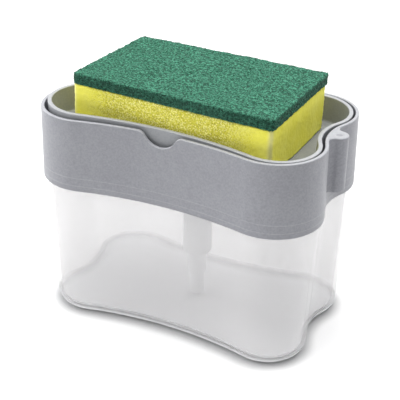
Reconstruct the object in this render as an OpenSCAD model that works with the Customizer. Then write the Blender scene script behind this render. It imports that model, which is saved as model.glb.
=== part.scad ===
// Press-down soap pump with a sponge tray on top.
// A translucent tank carries a grey collar. The collar's deck holds a lotion pump,
// and a loose tray with a sponge rides on the pump's outlet.
// Origin: middle of the base. +Z up, +X along the length, front at -Y.

/* [Plan outline] */
// Half of the length over the corner lobes, at the collar's rim
half_length = 72; // [68:0.5:80]
// Half of the width over the corner lobes, at the collar's rim
half_width = 44.5; // [42:0.5:50]
// Radius of the four corner lobes
lobe_radius = 23.4; // [20:0.1:25]
// Depth of the pinch in the middle of each end
end_pinch = 4.4; // [3:0.1:6]
// Depth of the pinch in the middle of each long side
side_pinch = 5.9; // [4:0.1:8]

/* [Tank] */
// Height of the tank, from the base to its mouth
tank_height = 79; // [70:1:95]
// Wall of the tank
tank_wall = 1.8; // [1.4:0.1:2.4]
// Floor of the tank
tank_floor = 2; // [1.5:0.1:3]
// How far the wall draws in from the rim's outline at the base
base_inset = 3.4; // [2:0.1:5]
// Radius of the rounded edge at the base
base_radius = 5.7; // [4:0.1:8]
// How far the wall lies inside the rim's outline just below the collar
mouth_inset = 0.95; // [0.8:0.05:1.4]
// Step in of the mouth that the collar covers
mouth_step = 0.55; // [0.4:0.05:0.9]
// Length of the stepped mouth
mouth_length = 5; // [4:0.1:5.6]

/* [Collar] */
// How far the skirt laps down over the tank
skirt_lap = 6.1; // [5.9:0.1:9]
// How far the skirt stands out of the rim's outline at its lower edge
skirt_flare = 0.54; // [0.4:0.02:1]
// Depth of the well above the deck
well_depth = 28.5; // [27:0.5:34]
// Wall of the well at the rim
collar_wall = 1.7; // [1.4:0.1:2]
// Draw-in of the well's wall from the rim to the deck
well_draft = 0.15; // [0.1:0.05:0.3]
// Radius between the well's wall and the deck
well_fillet = 1.5; // [1:0.1:2.4]
// Thickness of the deck
deck_thickness = 2; // [1.6:0.1:2.6]
// Depth of the rib that plugs the tank's mouth
plug_depth = 4; // [3:0.1:6]
// Thickness of the plug rib
plug_wall = 1.1; // [0.9:0.1:1.6]
// Radius of the pocket in the deck that the pump stands in
pocket_radius = 15; // [13.5:0.5:18]
// Depth of the pocket
pocket_depth = 6; // [5:0.5:8]
// Heights of the two moulded lines above the skirt's lower edge
line_heights = [2.9, 6.9]; // [2:0.1:8]
// Height of a moulded line
line_width = 0.6; // [0.4:0.1:1]
// How far a moulded line stands out
line_proud = 0.08; // [0.05:0.01:0.2]

/* [Finger notch] */
// Radius of the notch in the front of the rim
notch_radius = 9; // [8:0.5:12]
// Depth of the notch
notch_depth = 6.8; // [5:0.1:8]
// Radius of the notch's two shoulders
notch_shoulder = 4; // [2:0.5:5]
// Sideways place of the notch's middle
notch_place = -1.2; // [-6:0.1:6]

/* [End post] */
// Radius of the post in the right end's pinch
post_radius = 4.5; // [3.5:0.1:5]
// How far the post's axis stands out of the wall
post_stand_off = 3.2; // [2.5:0.1:3.8]
// Length of the post
post_length = 27.5; // [24:0.5:34]
// Radius of the fillets between the post and the wall
post_fillet = 3; // [2:0.1:3.5]
// Radius of the shallow dimple on the post's top
dimple_radius = 2.6; // [2:0.1:3]
// Depth of the dimple
dimple_depth = 0.5; // [0.3:0.1:0.8]

/* [Tray] */
// Depth of the tray, from its rim to its floor
tray_depth = 13; // [11:0.5:16]
// Wall of the tray
tray_wall = 2; // [1.6:0.1:2.4]
// Floor of the tray
tray_floor = 2; // [1.6:0.1:2.6]
// Gap between the tray and the well
tray_gap = 1.5; // [1.4:0.05:2.5]
// Draw-in of the tray's outside from its rim to its floor
tray_draft = 0.7; // [0.4:0.1:1.5]
// Outer radius at the foot of the tray's wall
tray_foot_radius = 3; // [2:0.1:4]
// Inner radius at the foot of the tray's wall
tray_fillet = 1; // [0.6:0.1:2]
// How much deeper than the well's the tray's end pinches are
tray_extra_pinch = 0.8; // [0:0.1:1.2]
// How far the tray's rim stands above the collar's rim
tray_rise = 1.6; // [1:0.1:3]
// Play of the tray on the pump's outlet
tray_play = 1.4; // [1:0.1:2]
// Sideways place of the loose tray as it lies
tray_shift = [0.4, -0.7]; // [-0.8:0.1:0.8]
// Tip of the loose tray about X and about Y, in degrees
tray_tip = [0.3, 1.2]; // [-1.3:0.1:1.3]
// Thickness of the ribs under the tray
rib_thickness = 1.4; // [1:0.1:2]
// Height of the ribs under the tray
rib_height = 2; // [1:0.1:2.4]

/* [Sponge] */
// Room between the foam and the tray's walls, at each end
sponge_end_room = 9.6; // [8:0.1:20]
// Room between the foam and the tray's walls, on each side
sponge_side_room = 0.7; // [0.6:0.1:5]
// Thickness of the foam
foam_thickness = 23.2; // [18:0.1:28]
// Thickness of the scouring pad
pad_thickness = 5.8; // [4:0.1:9]
// How far the scouring pad stands out past the foam, all round
pad_over = 0.6; // [0:0.1:1]
// Radius of the sponge's upright corners
sponge_corner = 2.5; // [1:0.1:5]
// How far the sponge's back left corner is cut short, along its length and its width
sponge_cut = [2.8, 3.8]; // [0:0.1:4]
// Place of the sponge's middle in the tray
sponge_place = [0.6, -0.4]; // [-0.6:0.1:0.6]
// Turn of the sponge in the tray, in degrees
sponge_turn = -1.6; // [-1.6:0.1:1.6]

/* [Pump barrel] */
// Outer radius of the barrel
barrel_radius = 7.4; // [7:0.1:8]
// Bore radius of the barrel
barrel_bore = 6.2; // [6:0.05:6.6]
// Thickness of the ledge at the foot of the barrel
ledge_thickness = 2; // [1.5:0.1:3]
// Chamfer at the foot of the barrel
barrel_chamfer = 1.2; // [0.6:0.1:1.8]
// Radius of the flange that rests on the deck
flange_radius = 11.5; // [10.5:0.1:13]
// Thickness of the flange
flange_thickness = 1.4; // [1:0.1:2]
// Thickness of the gasket under the flange
gasket_thickness = 1; // [0.6:0.1:1.6]
// Outer radius of the nose below the barrel
nose_radius = 4.7; // [4.6:0.05:5.2]
// Length of the nose
nose_length = 12; // [11:0.5:15]
// Radius of the air vent in the barrel
vent_radius = 0.5; // [0.3:0.1:0.8]
// Depth of the air vent below the deck
vent_drop = 6; // [5.6:0.2:8]

/* [Pump nut] */
// Outer radius of the nut under the deck
nut_radius = 12.6; // [11.5:0.1:14]
// Height of the nut
nut_height = 5; // [4:0.5:7]
// Number of grip flutes round the nut
nut_flutes = 12; // [8:1:18]
// Radius of a grip flute
flute_radius = 1.2; // [0.8:0.1:1.6]

/* [Inlet valve] */
// Radius of the ball
ball_radius = 2.6; // [2:0.1:2.9]
// Lift of the ball
ball_lift = 1.2; // [0.8:0.1:1.6]
// Radius of the chamber round the ball
ball_chamber = 3.3; // [3.1:0.1:3.5]
// Radius of the inlet under the ball
inlet_radius = 1.7; // [1.2:0.1:1.8]
// Thickness of the seat between the inlet's cone and the dip tube
seat_thickness = 1.2; // [0.8:0.1:2]
// Height of the cage over the ball
cage_height = 3.2; // [2.4:0.1:4]
// Radius of the cage's middle hole
cage_hole = 1.6; // [1.2:0.1:2]
// Width of the cage's flow slots
slot_width = 1.1; // [0.8:0.1:1.6]
// Outer radius of the dip tube
dip_radius = 3.83; // [3.4:0.01:4]
// Wall of the dip tube
dip_wall = 0.8; // [0.6:0.05:1.1]
// Gap between the dip tube's end and the tank's floor
dip_gap = 2; // [1:0.5:5]

/* [Plunger] */
// Press travel of the pump
press_travel = 11; // [8:0.5:11.5]
// Outer radius of the stem
stem_radius = 4.3; // [4:0.05:4.6]
// Bore radius of the stem
stem_bore = 2.4; // [2:0.05:2.8]
// Radius of the piston rod
rod_radius = 1.7; // [1.4:0.1:1.9]
// Length of the rod's ribbed grip inside the stem
grip_length = 8; // [6:0.5:10]
// Distance from the stem's foot to the rod's grip
grip_offset = 4; // [3:0.5:6]
// Thickness of a rib of the grip
grip_rib = 1; // [0.8:0.1:1.4]
// Radius of the plate under the piston
plate_radius = 5.3; // [5.1:0.1:5.6]
// Thickness of the plate
plate_thickness = 1.2; // [1:0.1:2]
// Height of the piston
piston_height = 8; // [6:0.5:9]
// Play of the piston on its rod, which opens the outlet
piston_play = 1.5; // [1:0.1:2]
// Bore radius of the piston
piston_bore = 2.6; // [2.2:0.1:3]
// Radius of the piston's core
piston_core = 4.6; // [4.2:0.1:5]
// Thickness of the piston's two lips at their edge
lip_thickness = 0.6; // [0.4:0.1:0.9]
// Height of a lip
lip_height = 1.8; // [1.4:0.1:2.4]
// How far the stem reaches below its guide at rest
stem_reach = 5.2; // [4:0.1:8]
// Length of the guide that closes the barrel
guide_length = 7.4; // [6:0.1:9]
// Radius of the guide's cap
guide_cap_radius = 9.5; // [8:0.1:10.5]
// Thickness of the guide's cap
guide_cap_thickness = 1.5; // [1:0.1:2]

/* [Spring] */
// Room left in the spring between its coils when the pump is pressed home
spring_reserve = 1.6; // [1:0.1:3]
// Radius of the spring's wire
wire_radius = 0.45; // [0.3:0.05:0.5]
// Radius of the coil at the middle of the wire
coil_radius = 4.5; // [4:0.1:4.7]
// Number of turns
spring_turns = 7; // [5:1:8]

/* [Outlet] */
// Radius of the outlet's head
head_radius = 7.2; // [6.5:0.1:8]
// Height of the outlet's head
head_height = 4; // [3:0.1:4.5]
// Thickness of the head over the stem
head_roof = 1.2; // [1:0.1:1.6]
// Radius of the outlet's spout
spout_radius = 3.2; // [2.8:0.1:3.6]
// Radius of the spout's mouth
mouth_radius = 1.1; // [0.8:0.1:1.6]
// Depth of the socket under the tray
socket_depth = 4; // [3:0.1:4.5]
// Wall of the socket under the tray
socket_wall = 1.6; // [1.2:0.1:2]

/* [Fits] */
// Gap between pieces that lift apart
fit_gap = 0.3; // [0.3:0.01:0.4]
// Radial clearance of a running or pushed-in fit
run_gap = 0.04; // [0.02:0.01:0.08]
// Radius of small broken edges
edge_radius = 0.4; // [0.2:0.05:0.6]

/* [Hidden] */

// Facets of exact round shapes
$fn = 64;
// Segments of one end pinch, one lobe and one side pinch of the outline
end_steps = 8;
lobe_steps = 14;
side_steps = 9;
// Segments of a rounded edge in the section
edge_steps = 3;
// Segments of the wire's section, and rings in one turn of the spring
wire_sides = 6;
turn_rings = 14;
// Overrun of cuts
overrun = 1;

// Levels, from the base up
mouth_z = tank_height - mouth_length;
skirt_z = tank_height - skirt_lap;
deck_z = tank_height + deck_thickness;
rim_z = deck_z + well_depth;
tray_rim_z = rim_z + tray_rise;
tray_floor_z = tray_rim_z - tray_depth;
tray_under_z = tray_floor_z - tray_floor;
foam_z = tray_floor_z + fit_gap;
pocket_z = deck_z - pocket_depth;
pocket_under_z = pocket_z - deck_thickness;
flange_z = pocket_z + gasket_thickness;
barrel_top_z = flange_z + flange_thickness;
guide_z = barrel_top_z - guide_length;
stem_z = guide_z - stem_reach;
piston_z = stem_z - run_gap - piston_play - piston_height;
plate_z = piston_z - run_gap - plate_thickness;
spring_length = press_travel + (spring_turns + 1) * 2 * wire_radius + spring_reserve;
spring_z = plate_z - spring_length;
ledge_z = spring_z - cage_height;
barrel_foot_z = ledge_z - ledge_thickness;
nose_z = barrel_foot_z - nose_length;
ball_z = ledge_z - ball_lift - run_gap - ball_radius;
cone_z = ball_z - (ball_radius + run_gap) * sqrt(2);
dip_top_z = cone_z + inlet_radius - seat_thickness;

// The head stays clear of the tipped tray above it
head_z = tray_under_z - fit_gap - head_radius * sin(tray_tip.y);
head_foot_z = head_z - head_height;
stem_top_z = head_z - head_roof;
spout_z = tray_floor_z - fit_gap;

// Distances of surfaces from the rim's outline, outwards positive
mouth_outer = -mouth_inset - mouth_step;
mouth_inner = mouth_outer - tank_wall;
plug_outer = mouth_inner - fit_gap;
plug_inner = plug_outer - plug_wall;
skirt_inner = fit_gap - mouth_inset;
tray_outer = -collar_wall - tray_gap;
tray_inner = tray_outer - tray_wall;

// The foam fills the tray's floor inside its fillet, but for its room
fillet_reach = tray_fillet - sqrt(fit_gap * (2 * tray_fillet - fit_gap));
foam_edge = tray_inner - tray_draft - fillet_reach;
foam_end = half_length - end_pinch - tray_extra_pinch + foam_edge - sponge_end_room;
foam_side = half_width - side_pinch + foam_edge - sponge_side_room;
foam_size = 2 * [foam_end, foam_side];

// Centres and radii of the outline's hollow arcs, for a pinch d over a lobe offset s
function pinch_reach(d, s) = (d * d + s * s) / (2 * d);
lobe_x = half_length - lobe_radius;
lobe_y = half_width - lobe_radius;
function end_radius(extra) = pinch_reach(end_pinch + extra, lobe_y) - lobe_radius;
function end_centre(extra) = half_length - end_pinch - extra + end_radius(extra);
side_radius = pinch_reach(side_pinch, lobe_x) - lobe_radius;
side_centre = half_width - side_pinch + side_radius;

// Points on an arc, without its last point
function arc(centre, r, from, to, steps) = [
  for (i = [0 : steps - 1])
    let (a = from + (to - from) * i / steps)
      centre + r * [cos(a), sin(a)]
];

// The pinched outline grown outwards by g, anticlockwise from the right end
function outline(g, extra = 0) =
  let (
    er = end_radius(extra) - g,
    ec = end_centre(extra),
    ea = atan2(lobe_y, lobe_x - ec),
    sr = side_radius - g,
    sa = atan2(lobe_y - side_centre, lobe_x),
    lr = lobe_radius + g
  )
  concat(
    arc([ec, 0], er, 360 - ea, ea, end_steps),
    arc([lobe_x, lobe_y], lr, ea - 180, sa + 180, lobe_steps),
    arc([0, side_centre], sr, sa, -180 - sa, side_steps),
    arc([-lobe_x, lobe_y], lr, -sa, 360 - ea, lobe_steps),
    arc([-ec, 0], er, 180 - ea, ea - 180, end_steps),
    arc([-lobe_x, -lobe_y], lr, ea, 360 + sa, lobe_steps),
    arc([0, -side_centre], sr, 180 + sa, -sa, side_steps),
    arc([lobe_x, -lobe_y], lr, -sa - 180, 180 - ea, lobe_steps)
  );

// A quarter of a rounded edge in the section: [distance from the outline, height] pairs
function rounded(centre, r, from, to) = [
  for (i = [0 : edge_steps])
    let (a = from + (to - from) * i / edge_steps)
      centre + r * [cos(a), sin(a)]
];

// A closed shell through rings, each one [distance from the outline, height].
// The first and the last ring are closed by flat caps.
module loft(rings, extra = 0) {
  count = len(outline(0, extra));
  last = len(rings) - 1;
  points = concat(
    [for (ring = rings) for (p = outline(ring[0], extra)) [p.x, p.y, ring[1]]],
    [[0, 0, rings[0][1]], [0, 0, rings[last][1]]]
  );
  low = len(points) - 2;
  high = low + 1;
  sides = [
    for (k = [0 : last - 1]) for (i = [0 : count - 1])
      let (j = (i + 1) % count)
        [k * count + i, (k + 1) * count + i, (k + 1) * count + j, k * count + j]
  ];
  first_cap = [for (i = [0 : count - 1]) [low, i, (i + 1) % count]];
  last_cap = [for (i = [0 : count - 1]) [high, last * count + (i + 1) % count, last * count + i]];
  polyhedron(points, concat(sides, first_cap, last_cap));
}

// The tray and the sponge lie loosely on the pump's outlet, a little tipped and shifted
module as_it_lies() {
  translate([tray_shift.x, tray_shift.y, tray_under_z])
    rotate([tray_tip.x, tray_tip.y, 0])
      translate([0, 0, -tray_under_z])
        children();
}

// A straight tube
module tube(outer, inner, z, height) {
  translate([0, 0, z])
    difference() {
      cylinder(r = outer, h = height);
      translate([0, 0, -overrun])
        cylinder(r = inner, h = height + 2 * overrun);
    }
}

module reservoir() {
  inner_radius = base_radius - tank_wall;
  inner_base = -base_inset - tank_wall;
  color([0.9, 0.91, 0.93, 0.6])
    loft(concat(
      rounded([-base_inset - base_radius, base_radius], base_radius, -90, 0),
      [
        [-mouth_inset, mouth_z - mouth_step],
        [mouth_outer, mouth_z],
        [mouth_outer, tank_height - edge_radius],
        [mouth_outer - edge_radius, tank_height],
        [mouth_inner, tank_height],
        [mouth_inner, mouth_z - mouth_step],
        [-mouth_inset - tank_wall, mouth_z - 2 * mouth_step]
      ],
      rounded([inner_base - inner_radius, tank_floor + inner_radius], inner_radius, 0, -90)
    ));
}

// Where the collar's outside lies at height z
function collar_outer(z) = skirt_flare * (rim_z - z) / (rim_z - skirt_z);

module collar_shell() {
  well_inner = -collar_wall - well_draft;
  e = edge_radius;
  loft(concat(
    [
      [plug_inner, tank_height],
      [plug_inner, tank_height - plug_depth],
      [plug_outer, tank_height - plug_depth],
      [plug_outer, tank_height],
      [skirt_inner, tank_height],
      [skirt_inner, skirt_z + e],
      [skirt_inner + e, skirt_z],
      [skirt_flare - e, skirt_z],
      [skirt_flare, skirt_z + e]
    ],
    [
      for (h = line_heights) for (side = [-1, 0, 1])
        let (z = skirt_z + h + side * line_width / 2)
          [collar_outer(z) + (side == 0 ? line_proud : 0), z]
    ],
    rounded([-e, rim_z - e], e, 0, 90),
    rounded([e - collar_wall, rim_z - e], e, 90, 180),
    rounded([well_inner - well_fillet, deck_z + well_fillet], -well_fillet, 180, 90)
  ));
}

// The notch's outline as seen from the front, with z along the second axis
module notch_outline() {
  middle = rim_z + notch_radius - notch_depth;
  shoulder_z = rim_z - notch_shoulder;
  reach = notch_radius + notch_shoulder;
  shoulder_x = sqrt(reach * reach - (middle - shoulder_z) * (middle - shoulder_z));
  touch = [0, middle] + notch_radius / reach * [shoulder_x, shoulder_z - middle];
  translate([0, middle])
    circle(r = notch_radius);
  difference() {
    polygon([
      [-shoulder_x, rim_z + notch_radius], [-shoulder_x, rim_z], [-touch.x, touch.y],
      touch, [shoulder_x, rim_z], [shoulder_x, rim_z + notch_radius]
    ]);
    for (side = [-1, 1])
      translate([side * shoulder_x, shoulder_z])
        circle(r = notch_shoulder);
  }
}

// The post in the right end's pinch, with a web and fillets to the wall
module end_post() {
  top = rim_z - edge_radius / 2;
  post_x = half_length - end_pinch + post_stand_off;
  hollow_x = end_centre(0);
  hollow_r = end_radius(0);
  d = hollow_x - post_x;
  to_hollow = hollow_r - post_fillet;
  to_post = post_radius + post_fillet;
  along = (to_hollow * to_hollow - to_post * to_post + d * d) / (2 * d);
  fillet = [hollow_x - along, sqrt(to_hollow * to_hollow - along * along)];
  on_wall = [hollow_x, 0] + hollow_r / to_hollow * (fillet - [hollow_x, 0]);
  on_post = [post_x, 0] + post_radius / to_post * (fillet - [post_x, 0]);
  turn = atan2(fillet.y, along);
  root = arc([hollow_x, 0], hollow_r + fit_gap, 180 + turn, 180 - turn, end_steps);
  ball = (dimple_radius * dimple_radius + dimple_depth * dimple_depth) / (2 * dimple_depth);
  difference() {
    union() {
      translate([post_x, 0, top - post_length])
        rotate_extrude()
          polygon(concat(
            [[0, 0], [post_radius - edge_radius, 0], [post_radius, edge_radius]],
            rounded([post_radius - edge_radius, post_length - edge_radius], edge_radius, 0, 90),
            [[0, post_length]]
          ));
      translate([0, 0, top - post_length + edge_radius])
        linear_extrude(post_length - 2 * edge_radius)
          difference() {
            polygon(concat(root, [
              on_wall, fillet, on_post, [post_x, 0],
              [on_post.x, -on_post.y], [fillet.x, -fillet.y], [on_wall.x, -on_wall.y]
            ]));
            for (side = [-1, 1])
              translate([fillet.x, side * fillet.y])
                circle(r = post_fillet);
          }
    }
    translate([post_x, 0, top - dimple_depth + ball])
      sphere(r = ball);
  }
}

module collar() {
  color([0.61, 0.62, 0.65])
    difference() {
      union() {
        collar_shell();
        end_post();
        translate([0, 0, pocket_under_z])
          cylinder(r = pocket_radius + deck_thickness, h = deck_z - pocket_under_z - deck_thickness / 2);
      }
      translate([0, 0, pocket_z])
        cylinder(r = pocket_radius, h = pocket_depth + overrun);
      translate([0, 0, pocket_under_z - overrun])
        cylinder(r = barrel_radius + fit_gap, h = deck_thickness + 2 * overrun);
      translate([notch_place, -half_width + side_pinch + collar_wall + overrun, 0])
        rotate([90, 0, 0])
          linear_extrude(collar_wall + 3 * overrun)
            notch_outline();
    }
}

// Ribs under the tray's floor, from the socket towards the wall
module tray_ribs() {
  socket = head_radius + tray_play + socket_wall;
  rib_x = half_length - end_pinch + tray_outer - tray_draft - tray_foot_radius;
  rib_y = half_width - side_pinch + tray_outer - tray_draft - tray_foot_radius;
  for (side = [-1, 1]) {
    translate([side > 0 ? socket - socket_wall / 2 : -rib_x, -rib_thickness / 2, tray_under_z - rib_height])
      cube([rib_x - socket + socket_wall / 2, rib_thickness, rib_height + tray_floor / 2]);
    translate([-rib_thickness / 2, side > 0 ? socket - socket_wall / 2 : -rib_y, tray_under_z - rib_height])
      cube([rib_thickness, rib_y - socket + socket_wall / 2, rib_height + tray_floor / 2]);
  }
}

module sponge_tray() {
  e = edge_radius;
  foot = tray_outer - tray_draft;
  floor_edge = tray_inner - tray_draft;
  socket = head_radius + tray_play;
  color([0.58, 0.59, 0.6])
    as_it_lies()
      difference() {
        union() {
          loft(concat(
            rounded([foot - tray_foot_radius, tray_under_z + tray_foot_radius], tray_foot_radius, -90, 0),
            rounded([tray_outer - e, tray_rim_z - e], e, 0, 90),
            rounded([tray_inner + e, tray_rim_z - e], e, 90, 180),
            rounded([floor_edge - tray_fillet, tray_floor_z + tray_fillet], -tray_fillet, 180, 90)
          ), tray_extra_pinch);
          tube(socket + socket_wall, socket, tray_under_z - socket_depth, socket_depth + tray_floor / 2);
          tray_ribs();
        }
        translate([0, 0, tray_under_z - overrun])
          cylinder(r = spout_radius + tray_play, h = tray_floor + 2 * overrun);
      }
}

// The sponge's plan: a rectangle with rounded corners, its back left corner cut short
module sponge_plan(size) {
  r = sponge_corner;
  x = size.x / 2 - r;
  y = size.y / 2 - r;
  points = concat(
    arc([x, y], r, 0, 90, edge_steps), [[x, y + r]],
    arc([-x, y], r, 90, 180, edge_steps), [[-x - r, y]],
    arc([-x, -y], r, 180, 270, edge_steps), [[-x, -y - r]],
    arc([x, -y], r, 270, 360, edge_steps), [[x + r, -y]]
  );
  polygon([
    for (p = points)
      let (share = (1 / 2 - p.x / size.x) * (1 / 2 + p.y / size.y))
        [p.x + share * sponge_cut.x, p.y - share * sponge_cut.y]
  ]);
}

module sponge_slab(z, size, thickness) {
  as_it_lies()
    translate([sponge_place.x, sponge_place.y, z])
      rotate([0, 0, sponge_turn])
        linear_extrude(thickness)
          sponge_plan(size);
}

module sponge_foam() {
  color([0.83, 0.8, 0.22])
    sponge_slab(foam_z, foam_size, foam_thickness);
}

module scouring_pad() {
  color([0.16, 0.45, 0.33])
    sponge_slab(foam_z + foam_thickness, foam_size + 2 * [pad_over, pad_over], pad_thickness);
}

module pump_housing() {
  socket = dip_radius + run_gap;
  color([0.9, 0.91, 0.92])
    difference() {
      rotate_extrude()
        polygon([
          [barrel_bore, barrel_top_z], [flange_radius, barrel_top_z], [flange_radius, flange_z],
          [barrel_radius, flange_z], [barrel_radius, barrel_foot_z + barrel_chamfer],
          [barrel_radius - barrel_chamfer, barrel_foot_z], [nose_radius, barrel_foot_z],
          [nose_radius, nose_z], [socket, nose_z], [socket, dip_top_z], [inlet_radius, dip_top_z],
          [inlet_radius, cone_z + inlet_radius], [ball_chamber, cone_z + ball_chamber],
          [ball_chamber, ledge_z], [barrel_bore, ledge_z]
        ]);
      translate([0, 0, pocket_under_z - vent_drop])
        rotate([0, 90, 0])
          cylinder(r = vent_radius, h = barrel_radius + overrun);
    }
}

module housing_gasket() {
  color([0.86, 0.86, 0.84])
    tube(flange_radius, barrel_radius + run_gap, pocket_z, gasket_thickness);
}

module pump_nut() {
  color([0.92, 0.92, 0.92])
    difference() {
      tube(nut_radius, barrel_radius + run_gap, pocket_under_z - nut_height, nut_height);
      for (i = [0 : nut_flutes - 1])
        rotate([0, 0, i * 360 / nut_flutes])
          translate([nut_radius + flute_radius / 2, 0, pocket_under_z - nut_height - overrun])
            cylinder(r = flute_radius, h = nut_height - flute_radius + overrun);
    }
}

module stem_guide() {
  color([0.93, 0.93, 0.93])
    rotate_extrude()
      polygon([
        [stem_radius + run_gap, guide_z], [barrel_bore - run_gap, guide_z],
        [barrel_bore - run_gap, barrel_top_z], [guide_cap_radius, barrel_top_z],
        [guide_cap_radius, barrel_top_z + guide_cap_thickness - edge_radius],
        [guide_cap_radius - edge_radius, barrel_top_z + guide_cap_thickness],
        [stem_radius + run_gap, barrel_top_z + guide_cap_thickness]
      ]);
}

module pump_stem() {
  color([0.93, 0.93, 0.93])
    tube(stem_radius, stem_bore, stem_z, stem_top_z - stem_z);
}

module outlet_nozzle() {
  socket = stem_radius + run_gap;
  color([0.9, 0.9, 0.91])
    rotate_extrude()
      polygon([
        [socket, head_foot_z], [head_radius, head_foot_z], [head_radius, head_z - edge_radius],
        [head_radius - edge_radius, head_z], [spout_radius, head_z],
        [spout_radius, spout_z - edge_radius], [spout_radius - edge_radius, spout_z],
        [mouth_radius, spout_z], [mouth_radius, stem_top_z + edge_radius],
        [stem_bore, stem_top_z], [socket, stem_top_z]
      ]);
}

module piston_rod() {
  grip_z = stem_z + grip_offset;
  color([0.88, 0.88, 0.9]) {
    rotate_extrude()
      polygon([
        [0, plate_z], [plate_radius, plate_z], [plate_radius, plate_z + plate_thickness],
        [rod_radius, plate_z + plate_thickness], [rod_radius, grip_z + grip_length], [0, grip_z + grip_length]
      ]);
    intersection() {
      translate([0, 0, grip_z])
        cylinder(r = stem_bore - run_gap, h = grip_length);
      for (turn = [0, 90])
        rotate([0, 0, turn])
          translate([-stem_bore, -grip_rib / 2, grip_z])
            cube([2 * stem_bore, grip_rib, grip_length]);
    }
  }
}

module pump_piston() {
  edge = barrel_bore - run_gap;
  top = piston_z + piston_height;
  color([0.95, 0.95, 0.93])
    rotate_extrude()
      polygon([
        [piston_bore, piston_z], [piston_core, piston_z + lip_height], [edge - lip_thickness, piston_z],
        [edge, piston_z], [edge, piston_z + lip_thickness], [piston_core, piston_z + 2 * lip_height],
        [piston_core, top - 2 * lip_height], [edge, top - lip_thickness], [edge, top],
        [edge - lip_thickness, top], [piston_core, top - lip_height],
        [piston_bore + lip_thickness, top - lip_height], [piston_bore + lip_thickness, top], [piston_bore, top]
      ]);
}

// The wire is one tube swept along a helix between the cage and the rod's plate
module return_spring() {
  count = spring_turns * turn_rings;
  rise = spring_length - 2 * wire_radius;
  slope = atan2(rise, 2 * PI * spring_turns * coil_radius);
  points = [
    for (k = [0 : count]) for (i = [0 : wire_sides - 1])
      let (
        a = 360 * k / turn_rings,
        w = 360 * i / wire_sides,
        out = coil_radius + wire_radius * cos(w),
        up = wire_radius * sin(w)
      )
      [
        out * cos(a) + up * sin(slope) * sin(a),
        out * sin(a) - up * sin(slope) * cos(a),
        spring_z + wire_radius + rise * k / count + up * cos(slope)
      ]
  ];
  sides = [
    for (k = [0 : count - 1]) for (i = [0 : wire_sides - 1])
      let (
        j = (i + 1) % wire_sides,
        a = k * wire_sides + i,
        b = k * wire_sides + j
      )
      each [[a, b, b + wire_sides], [a, b + wire_sides, a + wire_sides]]
  ];
  ends = [
    [for (i = [0 : wire_sides - 1]) wire_sides - 1 - i],
    [for (i = [0 : wire_sides - 1]) count * wire_sides + i]
  ];
  color([0.72, 0.73, 0.75])
    polyhedron(points, concat(sides, ends));
}

module ball_cage() {
  color([0.93, 0.93, 0.93])
    difference() {
      tube(barrel_bore - run_gap, cage_hole, ledge_z, cage_height);
      for (turn = [0, 90])
        rotate([0, 0, turn])
          translate([-ball_chamber, -slot_width / 2, ledge_z - overrun])
            cube([2 * ball_chamber, slot_width, cage_height / 2 + overrun]);
    }
}

module inlet_ball() {
  color([0.8, 0.81, 0.83])
    translate([0, 0, ball_z])
      sphere(r = ball_radius);
}

module dip_tube() {
  color([0.93, 0.94, 0.95])
    tube(dip_radius, dip_radius - dip_wall, tank_floor + dip_gap, dip_top_z - tank_floor - dip_gap);
}

reservoir();
collar();
sponge_tray();
sponge_foam();
scouring_pad();
pump_housing();
housing_gasket();
pump_nut();
stem_guide();
pump_stem();
outlet_nozzle();
piston_rod();
pump_piston();
return_spring();
ball_cage();
inlet_ball();
dip_tube();
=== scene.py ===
import math
import random

import bmesh
import bpy
from mathutils import Matrix, Vector, noise


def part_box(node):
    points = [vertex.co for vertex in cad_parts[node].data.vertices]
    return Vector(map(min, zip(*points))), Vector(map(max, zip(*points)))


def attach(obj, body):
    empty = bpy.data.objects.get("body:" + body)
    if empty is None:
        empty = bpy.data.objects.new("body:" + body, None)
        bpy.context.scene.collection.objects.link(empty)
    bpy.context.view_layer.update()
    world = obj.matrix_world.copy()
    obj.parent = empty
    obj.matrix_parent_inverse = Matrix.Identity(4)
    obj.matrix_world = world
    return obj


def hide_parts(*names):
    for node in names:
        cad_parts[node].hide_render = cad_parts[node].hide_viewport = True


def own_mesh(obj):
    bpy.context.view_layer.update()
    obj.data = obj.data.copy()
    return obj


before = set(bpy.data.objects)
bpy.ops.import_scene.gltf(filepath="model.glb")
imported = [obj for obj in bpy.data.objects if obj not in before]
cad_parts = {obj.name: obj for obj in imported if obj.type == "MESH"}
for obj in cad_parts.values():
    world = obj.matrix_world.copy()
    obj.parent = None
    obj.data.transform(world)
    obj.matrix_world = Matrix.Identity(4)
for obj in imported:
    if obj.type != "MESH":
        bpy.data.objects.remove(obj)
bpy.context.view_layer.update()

MM = 0.001

# Plan outline at the collar's rim
HALF_LENGTH = 72 * MM
HALF_WIDTH = 44.5 * MM
LOBE_RADIUS = 23.4 * MM
END_PINCH = 4.4 * MM
SIDE_PINCH = 5.9 * MM

# Rounded edges, and the gap between mouldings that fit into each other
EDGE = 0.4 * MM
FIT = 0.3 * MM

# Tank: its levels, its walls, and the step of its mouth
TANK_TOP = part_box("reservoir")[1].z
TANK_WALL = 1.8 * MM
TANK_FLOOR = 2 * MM
BASE_INSET = 3.4 * MM
BASE_RADIUS = 5.7 * MM
MOUTH_INSET = 0.95 * MM
MOUTH_STEP = 0.55 * MM
MOUTH_LENGTH = 5 * MM

# Collar: its levels and walls, the plug in the tank's mouth, and the pocket for the pump
SKIRT_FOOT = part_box("collar")[0].z
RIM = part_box("collar")[1].z
DECK = TANK_TOP + 2 * MM
DECK_THICKNESS = 2 * MM
SKIRT_FLARE = 0.54 * MM
COLLAR_WALL = 1.7 * MM
WELL_DRAFT = 0.15 * MM
WELL_FILLET = 1.5 * MM
PLUG_DEPTH = 4 * MM
PLUG_WALL = 1.1 * MM
POCKET_RADIUS = 15 * MM
POCKET_DEPTH = 6 * MM

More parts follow.
